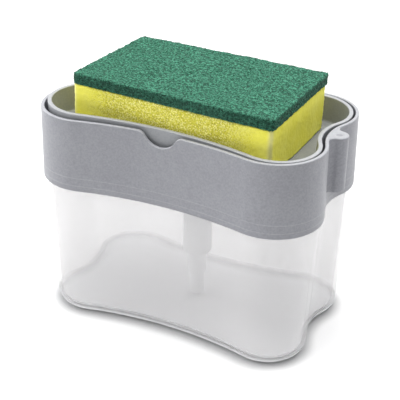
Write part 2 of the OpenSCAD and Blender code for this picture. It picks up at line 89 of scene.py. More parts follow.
# Two fine lines round the skirt. The section is in shares of a line's width from its middle,
# and of how proud it stands there; the points within the crest's share take a painted highlight.
LINE_HEIGHTS = (2.9 * MM, 6.9 * MM)
LINE_WIDTH = 0.6 * MM
LINE_PROUD = 0.08 * MM
LINE_SECTION = ((-1, 0), (-0.5, 0), (-0.25, 0.7), (0, 1), (0.25, 0.7), (0.5, 0), (1, 0))
LINE_CREST = 0.3
LINE_HIGHLIGHT_SHARE = 0.45

# Tray, and how it lies in the well: shifted along X and Y, tipped about X and Y
TRAY_RIM = RIM + 1.6 * MM
TRAY_DEPTH = 13 * MM
TRAY_WALL = 2 * MM
TRAY_FLOOR = 2 * MM
TRAY_GAP = 1.5 * MM
TRAY_DRAFT = 0.7 * MM
TRAY_FOOT = 3 * MM
TRAY_FILLET = 1 * MM
TRAY_EXTRA_PINCH = 0.8 * MM
TRAY_SHIFT = Vector((0.4 * MM, -0.7 * MM))
TRAY_TIP = Vector((math.radians(0.3), math.radians(1.2)))
SOCKET_DEPTH = 4 * MM
SOCKET_WALL = 1.6 * MM
RIB_THICKNESS = 1.4 * MM
RIB_HEIGHT = 2 * MM

# Finger notch
NOTCH_RADIUS = 9 * MM
NOTCH_DEPTH = 6.8 * MM
NOTCH_SHOULDER = 4 * MM
NOTCH_PLACE = -1.2 * MM

# Post in the right end's pinch, with a dimple in its top
POST_RADIUS = 4.5 * MM
POST_STAND_OFF = 3.2 * MM
POST_LENGTH = 27.5 * MM
POST_FILLET = 3 * MM
POST_TOP = RIM - EDGE / 4
POST_CROWN = 1.6 * EDGE
DIMPLE_RADIUS = 2.6 * MM
DIMPLE_DEPTH = 0.5 * MM

# Pump
BARREL_RADIUS = 7.4 * MM
HEAD_RADIUS = 7.2 * MM
SPOUT_RADIUS = 3.2 * MM
TRAY_PLAY = 1.4 * MM

# Sponge, in the tray's own frame
FOAM_SIZE = Vector((102 * MM, 63.4 * MM, 23.2 * MM))
PAD_OVER = 0.6 * MM
PAD_THICKNESS = 5.8 * MM
PAD_LIFT = 0.1 * MM
PAD_NAP = 0.3 * MM
SPONGE_CORNER = 2 * MM
SPONGE_CUT = Vector((2.8 * MM, 3.8 * MM))
SPONGE_PLACE = Vector((0.6 * MM, -0.4 * MM))
SPONGE_TURN = math.radians(-1.6)

# Foam's skin: pores, a slow swell, and how far from a corner its painted highlight reaches
FOAM_SPREAD = PAD_OVER * 1.5
FOAM_VOXEL = 0.65 * MM
PORE_SIZE = 1.3 * MM
PORE_DEPTH = 0.32 * MM
SWELL_SIZE = 9 * MM
SWELL_DEPTH = 0.25 * MM
HIGHLIGHT_REACH = 2.6 * MM

# Pad's skin: clumps, and a slow wander that is strongest at its sides
PAD_VOXEL = 0.5 * MM
CLUMP_SIZE = 2.2 * MM
CLUMP_DEPTH = 0.22 * MM
CLUMP_OCTAVES = (0.6, 2.1, 3)
WANDER_SIZE = 7 * MM
WANDER_DEPTH = 0.3 * MM
WANDER_ON_TOP = 0.4

# Loose strands on the pad; no root has a normal that points further down than the lowest
STRAND_SEED = 5
STRAND_COUNT = 8000
STRAND_LOWEST = -0.5
STRAND_RADIUS = 0.06 * MM
STRAND_LENGTHS_MM = (0.8, 2.4)
STRAND_BOW = 0.5
STRAND_RISE = 0.2 * MM
STRAND_ROOT = 0.08 * MM

# Colours of the plastics: a deeper and a paler one of each, and the grey of a painted highlight
# on their rims
COLLAR_GREYS = (0.234, 0.237, 0.263, 1), (0.298, 0.303, 0.328, 1)
TRAY_GREYS = (0.25, 0.259, 0.275, 1), (0.295, 0.303, 0.316, 1)
PUMP_WHITES = (0.88, 0.885, 0.9, 1), (0.93, 0.935, 0.95, 1)
RIM_HIGHLIGHT_GREY = (0.8, 0.81, 0.84, 1)
RIM_HIGHLIGHT_SHARE = 0.18
GRAIN_DEPTH = 0.02 * MM

# Looks of the tank: its base is denser up to a fade just above its floor
TANK_MILK = (0.8, 0.79, 0.795, 1)
TANK_SPECK = (0.45, 0.46, 0.47, 1)
TANK_BASE = (0.98, 0.985, 1.0, 1)
BASE_FADE = (TANK_FLOOR + 0.2 * MM, TANK_FLOOR + 3.5 * MM)
TANK_OPACITY = 0.33
BASE_EXTRA_OPACITY = 0.64

# Colours of the sponge, the steel and the rubber; the greens go from dark to light
FOAM_YELLOWS = (0.98, 0.93, 0.1, 1), (1.0, 0.96, 0.16, 1)
FOAM_PORE = (0.42, 0.38, 0.02, 1)
FOAM_SKIN = (0.99, 0.97, 0.5, 1)
# The cream of a painted highlight down the foam's upright corners
FOAM_CORNER_HIGHLIGHT = (0.97, 0.94, 0.58, 1)
FOAM_FRESH = (24 * MM, 49 * MM)
# The mat's darkest green also paints shade on its sides.
MAT_GREENS = (0.002, 0.025, 0.014, 1), (0.014, 0.112, 0.066, 1), (0.085, 0.335, 0.215, 1)
STRAND_GREENS = (0.008, 0.08, 0.045, 1), (0.036, 0.21, 0.122, 1), (0.09, 0.35, 0.22, 1)
STEEL_GREYS = (0.5, 0.51, 0.53, 1), (0.68, 0.69, 0.7, 1)
RUBBER_WHITES = (0.68, 0.68, 0.65, 1), (0.78, 0.78, 0.75, 1)

# Floor: lit by the lamps near the object, with a painted shadow where the object meets it, and
# white by itself further out
FLOOR_RADIUS = 4
FLOOR_WHITE = (0.93, 0.93, 0.93, 1)
FLOOR_SEEN = (0.9, 0.9, 0.9, 1)
FLOOR_PAINTED_SHADOW = (0.4, 0.4, 0.405, 1)
PAINTED_SHADOW_REACH = 7 * MM
FLOOR_FADE = (0.2, 0.9)
FLOOR_GLOW = 0.03

# Room and lamps: name, place, size and power; all lamps are aimed at one point
ROOM_LIGHT = 0.03
LAMP_AIM = Vector((0, 0, 0.06))
LAMPS = (
    ("overhead", (0, 0, 1.1), 1.5, 22.5),
    ("behind", (0, 0.9, 0.9), 1.0, 3.5),
    ("front_left", (-0.8, -0.8, 0.8), 0.8, 6.0),
    ("left", (-1.3, 0.0, 0.45), 0.8, 7.5),
    ("back_right", (0.9, 0.9, 0.6), 0.9, 4.0),
)

# Camera, as the photograph was taken
CAMERA_AZIMUTH = math.radians(25.690)
CAMERA_ELEVATION = math.radians(28.294)
CAMERA_ROLL = math.radians(0.938)
CAMERA_DISTANCE = 509.6 * MM
CAMERA_TARGET = Vector((1.066 * MM, 0, 58.257 * MM))
CAMERA_LENS = 90.972
CAMERA_SENSOR = 36

# Spacing of the points along an outline, steps of rounded edges, the length of the straight
# that guards a rounded edge's shading, and the distance at which points are one
OUTLINE_STEP = 0.8 * MM
NOTCH_STEP = 0.3 * MM
EDGE_STEPS = 5
DIMPLE_STEPS = 48
GUARD = 0.25 * MM
TOUCH = 0.001 * MM


class Wire:
    """A socket of a material. Sums and products of wires add their Math nodes."""

    def __init__(self, tree, socket=None):
        self.tree = tree
        self.socket = socket

    def node(self, kind, settings, sockets, output=0):
        """A new node: its settings first, then the values or links of its sockets."""
        made = self.tree.nodes.new(kind)
        for name, setting in settings.items():
            setattr(made, name, setting)
        for name, value in sockets.items():
            if isinstance(value, Wire):
                self.tree.links.new(value.socket, made.inputs[name])
            else:
                made.inputs[name].default_value = value
        return Wire(self.tree, made.outputs[output])

    def maths(self, operation, *values):
        """A Math node on these values."""
        return self.node("ShaderNodeMath", {"operation": operation}, dict(enumerate(values)))

    def __add__(self, other):
        return self.maths("ADD", self, other)

    __radd__ = __add__

    def __sub__(self, other):
        return self.maths("SUBTRACT", self, other)

    def __rsub__(self, other):
        return self.maths("SUBTRACT", other, self)

    def __mul__(self, other):
        return self.maths("MULTIPLY", self, other)

    __rmul__ = __mul__

    def place(self):
        """A point's place in its object."""
        return self.node("ShaderNodeTexCoord", {}, {}, "Object")

    def along(self, axis):
        """A point's place along one axis of its object."""
        return self.node("ShaderNodeSeparateXYZ", {}, {"Vector": self.place()}, axis)

    def mark(self, layer):
        """What a layer of the mesh says at a point."""
        return self.node("ShaderNodeAttribute", {"attribute_name": layer}, {}, "Fac")

    def noise(self, scale, detail, roughness=0.5, output="Fac"):
        """Cloudy noise."""
        sockets = {"Scale": scale, "Detail": detail, "Roughness": roughness}
        sockets["Vector"] = self.place()
        return self.node("ShaderNodeTexNoise", {}, sockets, output)

    def cells(self, scale, vector=None):
        """The distance to the middle of the nearest of scattered cells."""
        sockets = {"Scale": scale, "Vector": vector or self.place()}
        return self.node("ShaderNodeTexVoronoi", {}, sockets, "Distance")

    def step(self, low, high):
        """A smooth step of this wire from 0 at low to 1 at high."""
        settings = {"interpolation_type": "SMOOTHSTEP"}
        sockets = {"Value": self, "From Min": low, "From Max": high}
        return self.node("ShaderNodeMapRange", settings, sockets)

    def blend(self, factor, first, second):
        """A colour that goes from the first at 0 to the second at 1."""
        settings = {"data_type": "RGBA"}
        return self.node("ShaderNodeMix", settings, {0: factor, 6: first, 7: second}, 2)

    def seen(self):
        """1 for rays that show the background, in view or through and off the object; else 0."""
        path = self.node("ShaderNodeLightPath", {}, {}, "Is Camera Ray")
        rays = path.socket.node.outputs
        glossy = Wire(self.tree, rays["Is Glossy Ray"])
        through = Wire(self.tree, rays["Is Transmission Ray"])
        return self.maths("MAXIMUM", path, self.maths("MAXIMUM", glossy, through))

    def bump(self, height, distance, strength):
        """A normal that follows a height."""
        sockets = {"Height": height, "Distance": distance, "Strength": strength}
        return self.node("ShaderNodeBump", {}, sockets)


def material(name, **constants):
    """A new material with constants on its Principled shader, and a wire for the rest."""
    made = bpy.data.materials.new(name)
    made.use_nodes = True
    shader = made.node_tree.nodes["Principled BSDF"]
    for socket, value in constants.items():
        shader.inputs[socket.replace("_", " ")].default_value = value
    return made, Wire(made.node_tree)


def feed(made, **wires):
    """Link wires to the Principled shader's sockets."""
    shader = made.node_tree.nodes["Principled BSDF"]
    for socket, wire in wires.items():
        made.node_tree.links.new(wire.socket, shader.inputs[socket.replace("_", " ")])


def moulded_plastic(name, colours, roughness):
    """Satin moulded plastic: a fine grain, a faint mottle, a little rub, and a painted highlight
    on its rims.
    """
    made, wire = material(name, IOR=1.47)
    mottle = wire.noise(scale=38, detail=3)
    rub = wire.noise(scale=420, detail=4, roughness=0.7)
    speck = wire.noise(scale=1100, detail=2, roughness=0.6)
    grain = wire.noise(scale=2600, detail=2) + wire.noise(scale=900, detail=2) * 0.5
    tone = (speck - 0.5) * 1.1 + (rub - 0.5) * 0.7 + (mottle - 0.5) * 0.6 + 0.5
    plain = wire.blend(tone.step(0.1, 0.9), *colours)
    # Marked rims and line crests are blended towards a pale grey as a painted highlight.
    feed(
        made,
        Base_Color=wire.blend(wire.mark("painted_rim_highlight") * RIM_HIGHLIGHT_SHARE, plain, RIM_HIGHLIGHT_GREY),
        Roughness=roughness + (mottle - 0.5) * 0.1 + rub.step(0.5, 0.8) * 0.06,
        Normal=wire.bump(grain, GRAIN_DEPTH, strength=0.5),
    )
    return made


def clouded_plastic():
    """Milky see-through plastic with small specks moulded in; the frosted base is denser."""
    made, wire = material("clouded_plastic", IOR=1.2, Transmission_Weight=0.16)
    haze = wire.noise(scale=60, detail=3)
    speck = 1 - wire.cells(scale=120).step(0.02, 0.05)
    base = 1 - wire.along("Z").step(*BASE_FADE)
    wall = wire.blend(speck * 0.4, TANK_MILK, TANK_SPECK)
    feed(
        made,
        Base_Color=wire.blend(base, wall, TANK_BASE),
        Roughness=0.17 + (haze - 0.5) * 0.1,
        Alpha=TANK_OPACITY + base * BASE_EXTRA_OPACITY,
        Normal=wire.bump(wire.noise(scale=1400, detail=2), GRAIN_DEPTH, strength=0.4),
    )
    return made


def open_foam():
    """Yellow open-cell foam: small dark pores and pale skins between them, which are fewer
    towards its ends; its upright corners carry a painted highlight."""
    made, wire = material("open_foam", Roughness=0.9)
    coarse = wire.noise(scale=90, detail=3)
    aside = wire.noise(scale=500, detail=2, output="Color")
    warp = wire.node(
        "ShaderNodeVectorMath",
        {"operation": "MULTIPLY_ADD"},
        {0: aside, 1: (0.5 * MM,) * 3, 2: wire.place()},
    )
    pore = wire.cells(scale=1250, vector=warp)
    small = wire.cells(scale=2600, vector=warp)
    fleck = wire.noise(scale=1300, detail=2, roughness=0.7).step(0.53, 0.61)
    fresh = wire.maths("ABSOLUTE", wire.along("X")).step(*FOAM_FRESH)
    depth = pore.step(0.15, 0.6)
    body = wire.blend(coarse.step(0.3, 0.7), *FOAM_YELLOWS)
    worn = (depth * small.step(0.1, 0.7) * 0.35 + fleck * 0.5 + 0.37) * (1 - fresh * 0.9)
    pored = wire.blend(worn, body, FOAM_PORE)
    skin = wire.blend((1 - depth) * (1 - fresh) * 0.55, pored, FOAM_SKIN)
    # The upright corners are blended towards cream as a painted highlight.
    feed(
        made,
        Base_Color=wire.blend(wire.mark("painted_light_at_edges") * 0.7, skin, FOAM_CORNER_HIGHLIGHT),
        Normal=wire.bump(1 - depth + (1 - small) * 0.4, 0.2 * MM, strength=0.15),
    )
    return made


def fibre_mat(name, greens):
    """Green scouring fibre: a matted mass of short strands, darker in its hollows, with painted
    shade on its sides.
    """
    dark, mid, light = greens
    made, wire = material(name, Roughness=0.75, Specular_IOR_Level=0.25)
    clump = wire.noise(scale=900, detail=4, roughness=0.75)
    strand = wire.noise(scale=2400, detail=3, roughness=0.6)
    hollow = wire.cells(scale=1300).step(0.2, 0.7)
    body = wire.blend(clump.step(0.4, 0.62), mid, light)
    shaded = wire.blend(hollow * (1 - clump.step(0.4, 0.65)), body, dark)
    # The pad's sides are blended towards the darkest green as painted shade.
    shaded = wire.blend(wire.mark("painted_light_at_edges") * 0.6, shaded, dark)
    feed(
        made,
        Base_Color=wire.blend(strand.step(0.55, 0.75) * 0.35, shaded, light),
        Normal=wire.bump(strand + clump * 1.5 - hollow * 0.6, 0.5 * MM, strength=0.9),
    )
    return made


def steel(name, roughness):
    """Bright steel with fine drawn or tumbled scratches."""
    made, wire = material(name, Metallic=1.0)
    scratch = wire.noise(scale=3000, detail=4, roughness=0.7)
    feed(
        made,
        Base_Color=wire.blend(scratch, *STEEL_GREYS),
        Roughness=roughness + scratch * 0.12,
        Normal=wire.bump(scratch, 0.01 * MM, strength=0.3),
    )
    return made


def soft_rubber():
    """Soft white rubber with a faint bloom."""
    made, wire = material("soft_rubber")
    bloom = wire.noise(scale=500, detail=3)
    feed(
        made,
        Base_Color=wire.blend(bloom, *RUBBER_WHITES),
        Roughness=0.6 + bloom * 0.15,
        Normal=wire.bump(wire.noise(scale=2500, detail=2), GRAIN_DEPTH, strength=0.4),
    )
    return made


def pinched_arcs(extra=0.0):
    """The outline's eight arcs, anticlockwise from the right end, the ends pinched by some
    extra: the centre, radius and two angles of each, whether it bulges out, and its step."""
    lobe_x = HALF_LENGTH - LOBE_RADIUS
    lobe_y = HALF_WIDTH - LOBE_RADIUS
    pinch = END_PINCH + extra
    end_radius = (pinch ** 2 + lobe_y ** 2) / (2 * pinch) - LOBE_RADIUS
    end_x = HALF_LENGTH - pinch + end_radius
    side_radius = (SIDE_PINCH ** 2 + lobe_x ** 2) / (2 * SIDE_PINCH) - LOBE_RADIUS
    side_y = HALF_WIDTH - SIDE_PINCH + side_radius
    end_turn = math.atan2(lobe_y, lobe_x - end_x)
    side_turn = math.atan2(lobe_y - side_y, lobe_x)
    full = 2 * math.pi
    half = math.pi
    lobe = LOBE_RADIUS
    return [
        ((end_x, 0), end_radius, full - end_turn, end_turn, -1, OUTLINE_STEP),
        ((lobe_x, lobe_y), lobe, end_turn - half, side_turn + half, 1, OUTLINE_STEP),
        ((0, side_y), side_radius, side_turn, -half - side_turn, -1, OUTLINE_STEP),
        ((-lobe_x, lobe_y), lobe, -side_turn, full - end_turn, 1, OUTLINE_STEP),
        ((-end_x, 0), end_radius, half - end_turn, end_turn - half, -1, OUTLINE_STEP),
        ((-lobe_x, -lobe_y), lobe, end_turn, full + side_turn, 1, OUTLINE_STEP),
        ((0, -side_y), side_radius, half + side_turn, -side_turn, -1, NOTCH_STEP),
        ((lobe_x, -lobe_y), lobe, -side_turn - half, half - end_turn, 1, OUTLINE_STEP),
    ]


def arc_loop(bm, arcs):
    """Spin a point round each arc into one closed loop of edges. Two layers keep where each
    point starts and which way is outwards there."""
    outward = bm.verts.layers.float_vector.new("outward")
    start = bm.verts.layers.float_vector.new("start")
    first = previous = None
    for (x, y), radius, begin, end, bulge, spacing in arcs:
        known = set(bm.verts)
        centre = Vector((x, y, 0))
        point = bm.verts.new(centre + radius * Vector((math.cos(begin), math.sin(begin), 0)))
        turned = bmesh.ops.spin(
            bm, geom=[point], cent=centre, axis=(0, 0, 1), angle=end - begin,
            steps=max(2, math.ceil(abs(end - begin) * radius / spacing)),
        )
        for vert in set(bm.verts) - known:
            vert[outward] = bulge * (vert.co - centre) / radius
            vert[start] = vert.co
        if previous is None:
            first = point
        else:
            bm.edges.new((previous, point))
        previous = turned["geom_last"][0]
    bm.edges.new((previous, first))
    bmesh.ops.remove_doubles(bm, verts=list(bm.verts), dist=TOUCH)
    return list(bm.edges)


def paint_rim_highlight(bm, top):
    """Mark the points within a rounded edge of a rim, whose height top gives at each point, for a
    painted highlight there.
    """
    layer = bm.verts.layers.float.new("painted_rim_highlight")
    for vert in bm.verts:
        vert[layer] = float(vert.co.z > top(vert.co) - 0.8 * EDGE)


def loft(bm, loop, rings, sink=None):
    """Carry a loop through rings of (distance outwards, height), one extrusion each.
    sink gives how far a point of a ring is lowered. Returns the last ring's loop."""
    outward = bm.verts.layers.float_vector["outward"]
    start = bm.verts.layers.float_vector["start"]
    for index, (growth, height) in enumerate(rings):
        if index:
            made = bmesh.ops.extrude_edge_only(bm, edges=loop)["geom"]
            verts = {item for item in made if isinstance(item, bmesh.types.BMVert)}
            loop = [
                item for item in made
                if isinstance(item, bmesh.types.BMEdge) and set(item.verts) <= verts
            ]
        else:
            verts = {vert for edge in loop for vert in edge.verts}
        for vert in verts:
            vert.co = vert[start] + growth * vert[outward]
            vert.co.z = height - (sink(vert.co, height) if sink else 0)
    return loop


def lathe(bm, profile, steps, centre=(0, 0)):
    """Spin a profile of (radius, height) points round an upright axis, and return the loops
    at its two ends."""
    x, y = centre
    verts = [bm.verts.new((x + radius, y, height)) for radius, height in profile]
    edges = [bm.edges.new(pair) for pair in zip(verts, verts[1:])]
    bmesh.ops.spin(
        bm, geom=verts + edges, cent=(x, y, 0), axis=(0, 0, 1),
        angle=2 * math.pi, steps=steps, use_merge=True,
    )
    ends = []
    for radius, height in (profile[0], profile[-1]):
        ring = {
            vert for vert in bm.verts
            if abs(vert.co.z - height) < TOUCH
            and abs(math.hypot(vert.co.x - x, vert.co.y - y) - radius) < TOUCH
        }
        ends.append([edge for edge in bm.edges if set(edge.verts) <= ring])
    return ends


def rounded(centre, radius, begin, end, guard=GUARD):
    """Points of a rounded edge in the section, with one more on the straight at each end."""
    arc = []
    for index in range(EDGE_STEPS + 1):
        turn = math.radians(begin + (end - begin) * index / EDGE_STEPS)
        arc.append(Vector(centre) + radius * Vector((math.cos(turn), math.sin(turn))))
    if guard:
        sense = math.copysign(guard, (end - begin) * radius)
        before, after = (
            Vector((-math.sin(turn), math.cos(turn))) * sense
            for turn in (math.radians(begin), math.radians(end))
        )
        arc = [arc[0] - before, *arc, arc[-1] + after]
    return [tuple(point) for point in arc]


def placed(name, data):
    """A new object in the scene."""
    made = bpy.data.objects.new(name, data)
    bpy.context.scene.collection.objects.link(made)
    return made


def evaluated(holder):
    """The mesh that an object's curve or modifiers give, as a bmesh. The object goes."""
    depsgraph = bpy.context.evaluated_depsgraph_get()
    mesh = bpy.data.meshes.new_from_object(holder.evaluated_get(depsgraph))
    bpy.data.objects.remove(holder)
    bm = bmesh.new()
    bm.from_mesh(mesh)
    bpy.data.meshes.remove(mesh)
    return bm


def piece(bm, name, body, finish, nodes=(), sharp=35):
    """The finished mesh as an object that rides on a body and stands for CAD nodes. Edges
    that turn by more than sharp degrees stay sharp."""
    for layer in list(bm.verts.layers.float_vector.values()):
        bm.verts.layers.float_vector.remove(layer)
    bmesh.ops.recalc_face_normals(bm, faces=bm.faces)
    for face in bm.faces:
        face.smooth = True
    mesh = bpy.data.meshes.new(name)
    bm.to_mesh(mesh)
    bm.free()
    mesh.set_sharp_from_angle(angle=math.radians(sharp))
    mesh.materials.append(finish)
    made = placed(name, mesh)
    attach(made, body)
    if nodes:
        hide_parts(*nodes)
    return made


def tank(finish):
    """The tank: one shell with a rounded base, a drafted wall and a stepped mouth."""
    bm = bmesh.new()
    mouth = TANK_TOP - MOUTH_LENGTH
    outer = -MOUTH_INSET - MOUTH_STEP
    inner = outer - TANK_WALL
    inner_radius = BASE_RADIUS - TANK_WALL
    inner_base = -BASE_INSET - TANK_WALL
    rings = rounded((-BASE_INSET - BASE_RADIUS, BASE_RADIUS), BASE_RADIUS, -90, 0)
    rings += [
        (-MOUTH_INSET, mouth - MOUTH_STEP),
        (outer, mouth),
        (outer, TANK_TOP - EDGE),
        (outer - EDGE, TANK_TOP),
        (inner, TANK_TOP),
        (inner, mouth - MOUTH_STEP),
        (-MOUTH_INSET - TANK_WALL, mouth - 2 * MOUTH_STEP),
    ]
    floor_fillet = (inner_base - inner_radius, TANK_FLOOR + inner_radius)
    rings += rounded(floor_fillet, inner_radius, 0, -90)
    loop = arc_loop(bm, pinched_arcs())
    top = loft(bm, loop, rings)
    bmesh.ops.contextual_create(bm, geom=loop)
    bmesh.ops.contextual_create(bm, geom=top)
    piece(bm, "tank_shell", "tank", finish, ["reservoir"])


def notch_sink(point, height):
    """How far the finger notch lowers the rim at a point."""
    if point.y > 0 or height < RIM - 2 * EDGE:
        return 0
    x = abs(point.x - NOTCH_PLACE)
    reach = NOTCH_RADIUS + NOTCH_SHOULDER
    rise = NOTCH_RADIUS - NOTCH_DEPTH + NOTCH_SHOULDER
    shoulder = math.sqrt(reach ** 2 - rise ** 2)
    if x < shoulder * NOTCH_RADIUS / reach:
        return math.sqrt(NOTCH_RADIUS ** 2 - x ** 2) - NOTCH_RADIUS + NOTCH_DEPTH
    if x < shoulder:
        return NOTCH_SHOULDER - math.sqrt(NOTCH_SHOULDER ** 2 - (shoulder - x) ** 2)
    return 0


def collar(finish):
    """The collar: plug, skirt, outer wall, rim with its notch, well, deck and pump pocket."""
    bm = bmesh.new()
    plug_outer = -MOUTH_INSET - MOUTH_STEP - TANK_WALL - FIT
    plug_inner = plug_outer - PLUG_WALL
    skirt = FIT - MOUTH_INSET
    well = -COLLAR_WALL - WELL_DRAFT
    plug_foot = TANK_TOP - PLUG_DEPTH

    def outer(height):
        return SKIRT_FLARE * (RIM - height) / (RIM - SKIRT_FOOT)

    rings = [
        (plug_inner, TANK_TOP),
        (plug_inner, plug_foot),
        (plug_outer, plug_foot),
        (plug_outer, TANK_TOP),
        (skirt, TANK_TOP),
    ]
    rings += rounded((skirt + EDGE, SKIRT_FOOT + EDGE), EDGE, 180, 270, 0)
    rings += rounded((SKIRT_FLARE - EDGE, SKIRT_FOOT + EDGE), EDGE, 270, 360, 0)
    for line in LINE_HEIGHTS:
        for share, proud in LINE_SECTION:
            height = SKIRT_FOOT + line + share * LINE_WIDTH
            rings.append((outer(height) + proud * LINE_PROUD, height))
    rings += rounded((-EDGE, RIM - EDGE), EDGE, 0, 90)
    rings += rounded((EDGE - COLLAR_WALL, RIM - EDGE), EDGE, 90, 180)
    rings += rounded((well - WELL_FILLET, DECK + WELL_FILLET), -WELL_FILLET, 180, 90)
    loop = arc_loop(bm, pinched_arcs())
    deck = loft(bm, loop, rings, notch_sink)
    paint_rim_highlight(bm, lambda point: RIM - notch_sink(point, RIM))
    # The crests of the skirt's lines take a weaker painted highlight.
    highlight_layer = bm.verts.layers.float["painted_rim_highlight"]
    crest = LINE_CREST * LINE_WIDTH
    for vert in bm.verts:
        if any(abs(vert.co.z - SKIRT_FOOT - line) < crest for line in LINE_HEIGHTS):
            vert[highlight_layer] = LINE_HIGHLIGHT_SHARE
    pocket = DECK - POCKET_DEPTH
    under = pocket - DECK_THICKNESS
    hole = BARREL_RADIUS + FIT
    boss = POCKET_RADIUS + DECK_THICKNESS
    profile = rounded((POCKET_RADIUS + EDGE, DECK - EDGE), EDGE, 90, 180)
    profile += [
        (POCKET_RADIUS, pocket),
        (hole, pocket),
        (hole, under),
        (boss - EDGE, under),
        (boss, under + EDGE),
        (boss, TANK_TOP),
    ]
    top, bottom = lathe(bm, profile, len(loop) // 3)
    bmesh.ops.bridge_loops(bm, edges=deck + top)
    bmesh.ops.bridge_loops(bm, edges=loop + bottom)
    piece(bm, "collar_shell", "lid", finish, ["collar"])


def end_post(finish):
    """The post that stands in the right end's pinch, webbed and filleted to the wall."""
    bm = bmesh.new()
    (hollow_x, _), hollow, *_ = pinched_arcs()[0]
    post_x = HALF_LENGTH - END_PINCH + POST_STAND_OFF
    gap = hollow_x - post_x
    to_hollow = hollow - POST_FILLET
    to_post = POST_RADIUS + POST_FILLET
    along = (to_hollow ** 2 - to_post ** 2 + gap ** 2) / (2 * gap)
    fillet_x = hollow_x - along
    fillet_y = math.sqrt(to_hollow ** 2 - along ** 2)
    wall = math.atan2(fillet_y, -along)
    post = math.atan2(fillet_y, fillet_x - post_x)
    root = hollow + 2 * FIT
    full = 2 * math.pi
    half = math.pi
    fillet = POST_FILLET
    arcs = [
        ((post_x, 0), POST_RADIUS, -post, post, 1, NOTCH_STEP),
        ((fillet_x, fillet_y), fillet, post - half, wall - full, -1, NOTCH_STEP),
        ((hollow_x, 0), root, wall, full - wall, 0, NOTCH_STEP),
        ((fillet_x, -fillet_y), fillet, full - wall, half - post, -1, NOTCH_STEP),
    ]
    foot = POST_TOP - POST_LENGTH
    rings = rounded((-EDGE, foot + EDGE), EDGE, -90, 0)
    rings += rounded((-POST_CROWN, POST_TOP - POST_CROWN), POST_CROWN, 0, 90)
    loop = arc_loop(bm, arcs)
    rim = loft(bm, loop, rings)
    ball = (DIMPLE_RADIUS ** 2 + DIMPLE_DEPTH ** 2) / (2 * DIMPLE_DEPTH)
    profile = [(DIMPLE_RADIUS + GUARD, POST_TOP)]
    for index in range(EDGE_STEPS + 2):
        radius = DIMPLE_RADIUS * (1 - index / (EDGE_STEPS + 1))
        height = POST_TOP - DIMPLE_DEPTH + ball - math.sqrt(ball ** 2 - radius ** 2)
        profile.append((radius, height))
    lip = lathe(bm, profile, DIMPLE_STEPS, (post_x, 0))[0]
    bmesh.ops.triangle_fill(bm, use_beauty=True, edges=rim + lip)
    paint_rim_highlight(bm, lambda point: POST_TOP)
    bmesh.ops.contextual_create(bm, geom=loop)
    piece(bm, "end_post", "lid", finish)


def as_it_lies(bm):
    """The tray and the sponge lie loosely on the pump's outlet, a little tipped and shifted."""
    under = TRAY_RIM - TRAY_DEPTH - TRAY_FLOOR
    turn = Matrix.Rotation(TRAY_TIP.y, 4, "Y") @ Matrix.Rotation(TRAY_TIP.x, 4, "X")
    lying = Matrix.Translation((*TRAY_SHIFT, under)) @ turn @ Matrix.Translation((0, 0, -under))
    bmesh.ops.transform(bm, matrix=lying, verts=bm.verts)


def tray(finish):
    """The loose tray, with the socket under it that sits round the pump's head."""
    bm = bmesh.new()
    outer = -COLLAR_WALL - TRAY_GAP
    inner = outer - TRAY_WALL
    floor = TRAY_RIM - TRAY_DEPTH
    under = floor - TRAY_FLOOR
    foot = outer - TRAY_DRAFT
    floor_edge = inner - TRAY_DRAFT
    rings = rounded((foot - TRAY_FOOT, under + TRAY_FOOT), TRAY_FOOT, -90, 0)
    rings += rounded((outer - EDGE, TRAY_RIM - EDGE), EDGE, 0, 90)
    rings += rounded((inner + EDGE, TRAY_RIM - EDGE), EDGE, 90, 180)
    rings += rounded((floor_edge - TRAY_FILLET, floor + TRAY_FILLET), -TRAY_FILLET, 180, 90)
    loop = arc_loop(bm, pinched_arcs(TRAY_EXTRA_PINCH))
    bed = loft(bm, loop, rings)
    paint_rim_highlight(bm, lambda point: TRAY_RIM)
    hole = SPOUT_RADIUS + TRAY_PLAY
    socket = HEAD_RADIUS + TRAY_PLAY
    rim = under - SOCKET_DEPTH
    profile = rounded((hole + EDGE, floor - EDGE), EDGE, 90, 180)
    profile += [
        (hole, under),
        (socket, under),
        (socket, rim),
        (socket + SOCKET_WALL, rim),
        (socket + SOCKET_WALL, under),
    ]
    top, bottom = lathe(bm, profile, len(loop) // 4)
    bmesh.ops.bridge_loops(bm, edges=bed + top)
    bmesh.ops.bridge_loops(bm, edges=loop + bottom)
    as_it_lies(bm)
    piece(bm, "tray_shell", "tray", finish, ["sponge_tray"])


def tray_ribs(finish):
    """Four ribs under the tray's floor, from the socket towards its wall."""
    bm = bmesh.new()
    under = TRAY_RIM - TRAY_DEPTH - TRAY_FLOOR
    inset = COLLAR_WALL + TRAY_GAP + TRAY_DRAFT + TRAY_FOOT
    start = HEAD_RADIUS + TRAY_PLAY + SOCKET_WALL / 2
    for turn, reach in enumerate((HALF_LENGTH - END_PINCH, HALF_WIDTH - SIDE_PINCH) * 2):
        length = reach - inset - start
        size = Matrix.Diagonal((length, RIB_THICKNESS, RIB_HEIGHT + FIT, 1))
        place = Matrix.Translation((start + length / 2, 0, under - (RIB_HEIGHT - FIT) / 2))
        made = bmesh.ops.create_cube(bm, size=1, matrix=place @ size)
        edges = {edge for vert in made["verts"] for edge in vert.link_edges}
        bevelled = bmesh.ops.bevel(
            bm, geom=list(edges), offset=EDGE / 2, offset_type="OFFSET",
            affect="EDGES", segments=2, profile=0.5, material=-1,
        )
        verts = {vert for face in bevelled["faces"] for vert in face.verts}
        spin = Matrix.Rotation(turn * math.pi / 2, 4, "Z")
        bmesh.ops.transform(bm, matrix=spin, verts=list(verts))
    as_it_lies(bm)
    piece(bm, "tray_ribs", "tray", finish)


